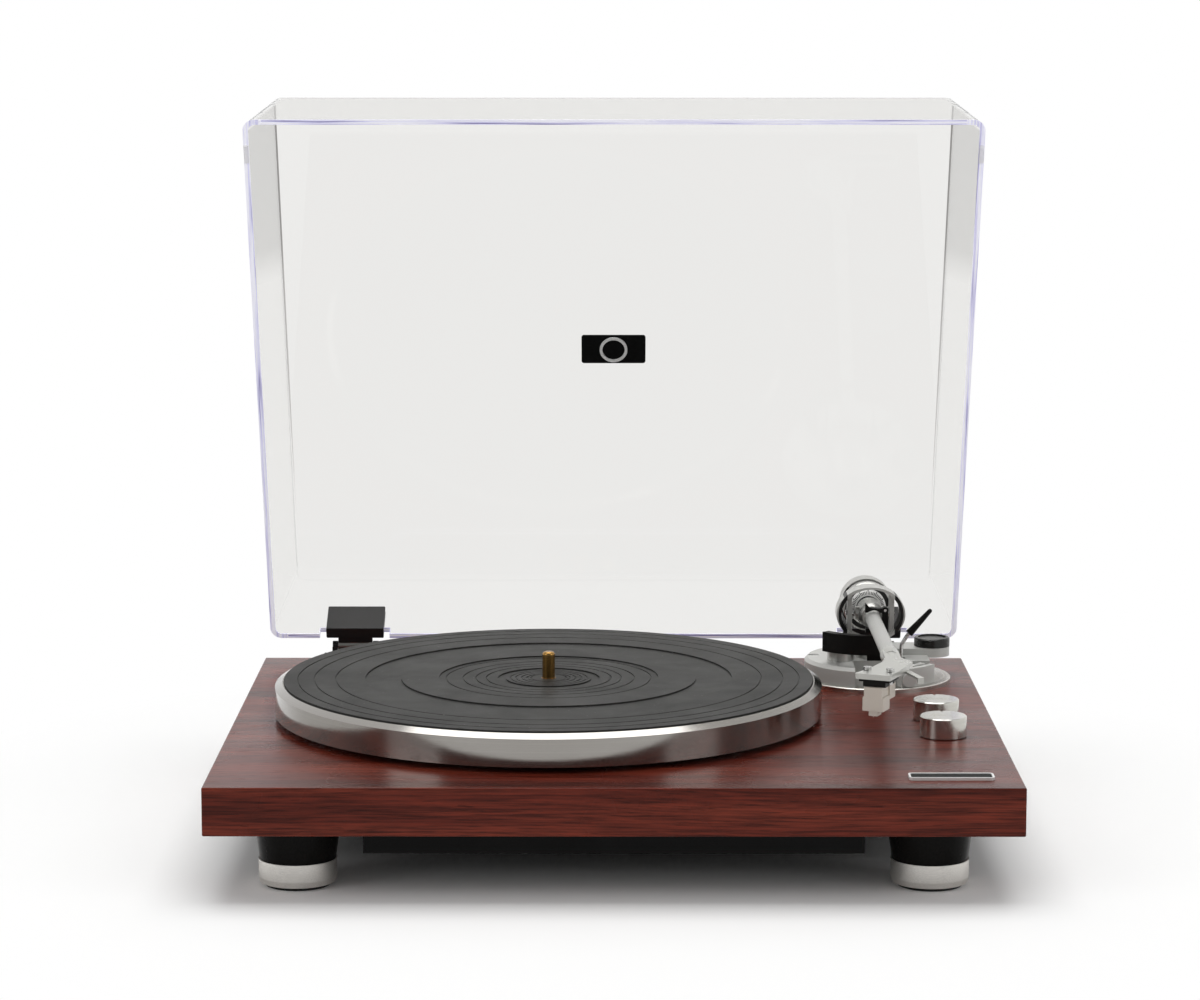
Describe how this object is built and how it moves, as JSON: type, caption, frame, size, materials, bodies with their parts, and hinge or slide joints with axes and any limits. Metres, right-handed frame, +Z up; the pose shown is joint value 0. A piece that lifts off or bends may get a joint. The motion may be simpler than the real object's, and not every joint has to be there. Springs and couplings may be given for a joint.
{
  "type": "turntable",
  "caption": "Belt-driven record turntable with a wood-veneered plinth, rubber-matted platter, gimbal tonearm with counterweight, cue lever, knobs and an open hinged clear cover.",
  "frame": {"origin": "floor plane under the middle of the overall box, which is also the plinth's middle from left to right", "axes": "+X to the right along the plinth's front, +Y from the front to the rear, +Z up"},
  "size_m": [0.42, 0.4068, 0.3999],
  "materials": {
    "plinth_veneer": "satin red-brown veneer",
    "tray_metal": "fine textured black paint",
    "fastener_steel": "zinc plated",
    "foot_plastic": "gloss black",
    "foot_ring_metal": "satin turned",
    "foot_rubber": "matt",
    "platter_metal": "polished turned rim",
    "mat_rubber": "matt with turned steps",
    "spindle_brass": "polished",
    "bearing_metal": "turned",
    "belt_rubber": "matt",
    "pulley_metal": "turned",
    "motor_metal": "zinc grey",
    "knob_metal": "turned and satin anodised",
    "switch_plastic": "moulded",
    "badge_rim_metal": "polished",
    "badge_face": "gloss black, bare",
    "board_laminate": "solder mask",
    "board_component": "moulded",
    "panel_metal": "matt black",
    "socket_metal": "gold plated",
    "socket_plastic": "moulded",
    "arm_metal": "satin",
    "arm_housing_paint": "fine silver paint",
    "arm_black": "satin black",
    "lever_steel": "polished",
    "lever_alu": "satin",
    "tube_paint": "silver paint over a fine knurl",
    "carrier_plastic": "moulded",
    "weight_metal": "satin plated",
    "cartridge_black": "moulded",
    "cartridge_pale": "moulded cream",
    "hinge_plastic": "moulded black",
    "cover_acrylic": "clear polished acrylic",
    "bumper_rubber": "milky",
    "emblem_black": "black, bare",
    "emblem_metal": "polished"
  },
  "bodies": {
    "base": {"plinth": "plinth_veneer", "bottom_tray": "tray_metal", "pan_screws": "fastener_steel", "foot_cones": "foot_plastic", "foot_rings": "foot_ring_metal", "foot_pads": "foot_rubber", "foot_screws": "fastener_steel", "bearing_housing": "bearing_metal", "drive_belt": "belt_rubber", "motor_body": "motor_metal", "switch_bodies": "switch_plastic", "badge_rim": "badge_rim_metal", "badge_plate": "badge_face", "circuit_board": "board_laminate", "board_parts": "board_component", "rear_panel": "panel_metal", "phono_sockets": "socket_metal", "ground_terminal": "socket_metal", "power_socket": "socket_plastic", "arm_base_flange": "arm_metal", "arm_base_housing": "arm_housing_paint", "arm_base_screws": "fastener_steel", "arm_pillar": "arm_metal", "lift_cylinder": "arm_metal", "arm_rest_post": "arm_black", "lever_pins": "fastener_steel", "hinge_brackets": "hinge_plastic", "hinge_pins": "fastener_steel"},
    "platter_group": {"platter": "platter_metal", "slip_mat": "mat_rubber", "spindle": "spindle_brass"},
    "pulley": {"motor_pulley": "pulley_metal"},
    "speed_control": {"speed_knob": "knob_metal"},
    "power_control": {"power_knob": "knob_metal"},
    "rear_slider": {"slide_switch_button": "socket_plastic"},
    "arm_yoke": {"gimbal_ring": "arm_metal", "pivot_screws": "fastener_steel"},
    "tonearm": {"pivot_hub": "arm_metal", "arm_tube": "tube_paint", "rear_stub": "lever_steel", "headshell": "tube_paint", "finger_lift": "lever_alu", "headshell_screws": "fastener_steel", "cartridge_mount": "cartridge_black", "cartridge_body": "cartridge_pale", "stylus_block": "cartridge_pale"},
    "carrier": {"weight_carrier": "carrier_plastic"},
    "weight": {"counterweight": "weight_metal"},
    "force_dial": {"tracking_dial": "arm_black"},
    "lifter": {"lifter_bar": "arm_black"},
    "cue_lever": {"cue_lever_rod": "lever_steel", "cue_lever_grip": "arm_black"},
    "latch": {"arm_latch": "arm_black"},
    "skate_dial": {"anti_skate_dial": "arm_black"},
    "cover": {"dust_cover": "cover_acrylic", "lid_bumpers": "bumper_rubber", "lid_emblem_plate": "emblem_black", "lid_emblem_ring": "emblem_metal", "hinge_clips": "hinge_plastic"}
  },
  "joints": [
    {"name": "platter_spin", "type": "hinge", "parent": "base", "child": "platter_group", "pos_m": [-0.0362, -0.01868, 0.0661], "axis": [0, 0, 1], "continuous": true},
    {"name": "pulley_spin", "type": "hinge", "parent": "base", "child": "pulley", "pos_m": [-0.14708, 0.02168, 0.0661], "axis": [0, 0, 1], "continuous": true},
    {"name": "speed_turn", "type": "hinge", "parent": "base", "child": "speed_control", "pos_m": [0.1788, -0.07608, 0.0661], "axis": [0, 0, 1], "range_deg": [-60, 0]},
    {"name": "power_turn", "type": "hinge", "parent": "base", "child": "power_control", "pos_m": [0.1788, -0.03098, 0.0661], "axis": [0, 0, 1], "range_deg": [-60, 0]},
    {"name": "rear_switch_slide", "type": "slide", "parent": "base", "child": "rear_slider", "axis": [1, 0, 0], "range_m": [0, 0.003]},
    {"name": "arm_swing", "type": "hinge", "parent": "base", "child": "arm_yoke", "pos_m": [0.15, 0.08262, 0.0811], "axis": [0, 0, -1], "range_deg": [0, 44]},
    {"name": "arm_lift", "type": "hinge", "parent": "arm_yoke", "child": "tonearm", "pos_m": [0.15, 0.08262, 0.1006], "axis": [-1, 0, 0], "range_deg": [0, 3]},
    {"name": "weight_slide", "type": "slide", "parent": "tonearm", "child": "carrier", "axis": [0, 0.9998, -0.0204], "range_m": [-0.002, 0.002]},
    {"name": "weight_turn", "type": "hinge", "parent": "carrier", "child": "weight", "pos_m": [0.15, 0.08262, 0.1006], "axis": [0, 0.9998, -0.0204], "range_deg": [-361, 361]},
    {"name": "force_dial_turn", "type": "hinge", "parent": "weight", "child": "force_dial", "pos_m": [0.15, 0.08262, 0.1006], "axis": [0, 0.9998, -0.0204], "continuous": true},
    {"name": "lifter_rise", "type": "slide", "parent": "base", "child": "lifter", "axis": [0, 0, 1], "range_m": [0, 0.005]},
    {"name": "cue_lever_tilt", "type": "hinge", "parent": "base", "child": "cue_lever", "pos_m": [0.1678, 0.07612, 0.0701], "axis": [1, 0, 0], "range_deg": [0, 50.5]},
    {"name": "latch_open", "type": "hinge", "parent": "base", "child": "latch", "pos_m": [0.1565, 0.05562, 0.1071], "axis": [0, 1, 0], "range_deg": [0, 105]},
    {"name": "skate_turn", "type": "hinge", "parent": "base", "child": "skate_dial", "pos_m": [0.1875, 0.09762, 0.0811], "axis": [0, 0, 1], "range_deg": [-270, 0]},
    {"name": "cover_close", "type": "hinge", "parent": "base", "child": "cover", "pos_m": [0.156, 0.15652, 0.0671], "axis": [1, 0, 0], "range_deg": [0, 67.5]}
  ],
  "couplings": [
    {"joint": "pulley_spin", "follows": "platter_spin", "ratio": 11.135},
    {"joint": "weight_turn", "follows": "weight_slide", "rad_per_m": 3141.6},
    {"joint": "lifter_rise", "follows": "arm_lift", "m_per_rad": 0.09},
    {"joint": "cue_lever_tilt", "follows": "arm_lift", "ratio": 16.7}
  ]
}
